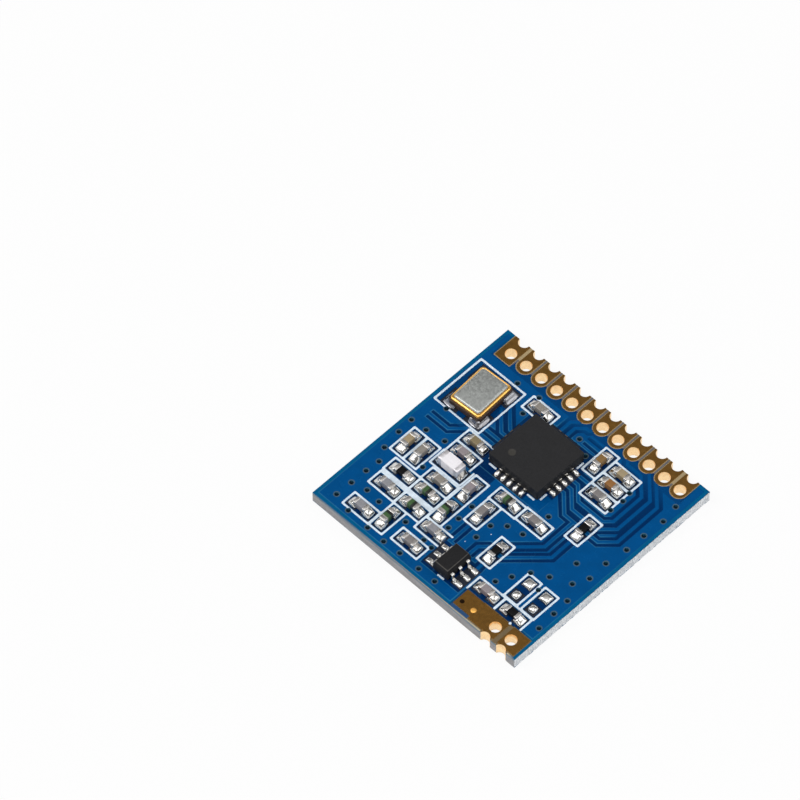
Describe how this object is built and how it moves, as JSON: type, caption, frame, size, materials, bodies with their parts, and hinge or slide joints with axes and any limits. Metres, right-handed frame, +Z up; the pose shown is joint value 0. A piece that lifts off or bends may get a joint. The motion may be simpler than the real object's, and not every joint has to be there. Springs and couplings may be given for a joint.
{
  "type": "radio transmitter module",
  "caption": "Square blue surface-mount radio transmitter board with a row of plated edge notches, a flat no-lead chip, a crystal can, small chip parts and a pad pair for an antenna.",
  "frame": {"origin": "middle of the board's underside", "axes": "+Z up out of the component side, +Y towards the pin row, +X along the pin row towards the antenna pads' end"},
  "size_m": [0.0166, 0.0166, 0.0019],
  "materials": {
    "laminate": "sawn glass-epoxy, rough fibrous edges",
    "copper": "foil under the mask",
    "solder_mask": "glossy blue coating",
    "ink": "printed, slightly rough",
    "gold_plating": "thin gold plating, glossy, dark at this angle",
    "chip_moulding": "fine matte grain",
    "tinned_metal": "tinned, satin",
    "ceramic_base": "dark fired ceramic",
    "gilt_ring": "gold plated, polished",
    "lid_metal": "nickel plated, satin",
    "quartz": "frosted plate with thin electrodes",
    "capacitor_grey": "fired ceramic, satin",
    "capacitor_tan": "fired ceramic, satin",
    "resistor_glaze": "black glaze on white ceramic",
    "inductor_ceramic": "pale ceramic with a green band",
    "choke_ceramic": "white ceramic, matte",
    "termination": "tinned, bright",
    "solder": "bright solder"
  },
  "bodies": {
    "root": {"antenna_pad": "gold_plating", "board_laminate": "laminate", "bottom_copper": "copper", "bottom_solder_mask": "solder_mask", "capacitor_01": "capacitor_grey", "capacitor_02": "capacitor_tan", "capacitor_03": "capacitor_tan", "capacitor_04": "capacitor_tan", "capacitor_05": "capacitor_grey", "capacitor_06": "capacitor_grey", "capacitor_07": "capacitor_grey", "capacitor_08": "capacitor_tan", "capacitor_09": "capacitor_grey", "capacitor_10": "capacitor_tan", "capacitor_11": "capacitor_grey", "capacitor_12": "capacitor_grey", "capacitor_13": "capacitor_grey", "capacitor_14": "capacitor_grey", "capacitor_15": "capacitor_grey", "capacitor_16": "capacitor_grey", "capacitor_17": "capacitor_grey", "capacitor_18": "capacitor_grey", "choke_01": "choke_ceramic", "crystal_base": "ceramic_base", "crystal_lid": "lid_metal", "crystal_quartz_blank": "quartz", "crystal_seal_ring": "gilt_ring", "crystal_terminals": "tinned_metal", "ground_pad": "gold_plating", "inductor_01": "inductor_ceramic", "inductor_02": "inductor_ceramic", "inductor_03": "inductor_ceramic", "inductor_04": "inductor_ceramic", "inductor_05": "inductor_ceramic", "pin_pad_01": "gold_plating", "pin_pad_02": "gold_plating", "pin_pad_03": "gold_plating", "pin_pad_04": "gold_plating", "pin_pad_05": "gold_plating", "pin_pad_06": "gold_plating", "pin_pad_07": "gold_plating", "pin_pad_08": "gold_plating", "pin_pad_09": "gold_plating", "pin_pad_10": "gold_plating", "pin_pad_11": "gold_plating", "pin_pad_12": "gold_plating", "resistor_01": "resistor_glaze", "resistor_02": "resistor_glaze", "resistor_03": "resistor_glaze", "resistor_04": "resistor_glaze", "silkscreen": "ink", "solder_joints": "solder", "switch_chip_body": "chip_moulding", "switch_chip_leads": "tinned_metal", "top_copper": "copper", "top_solder_mask": "solder_mask", "transmitter_chip_body": "chip_moulding", "transmitter_chip_paddle": "tinned_metal", "transmitter_chip_terminals": "tinned_metal"}
  },
  "joints": []
}
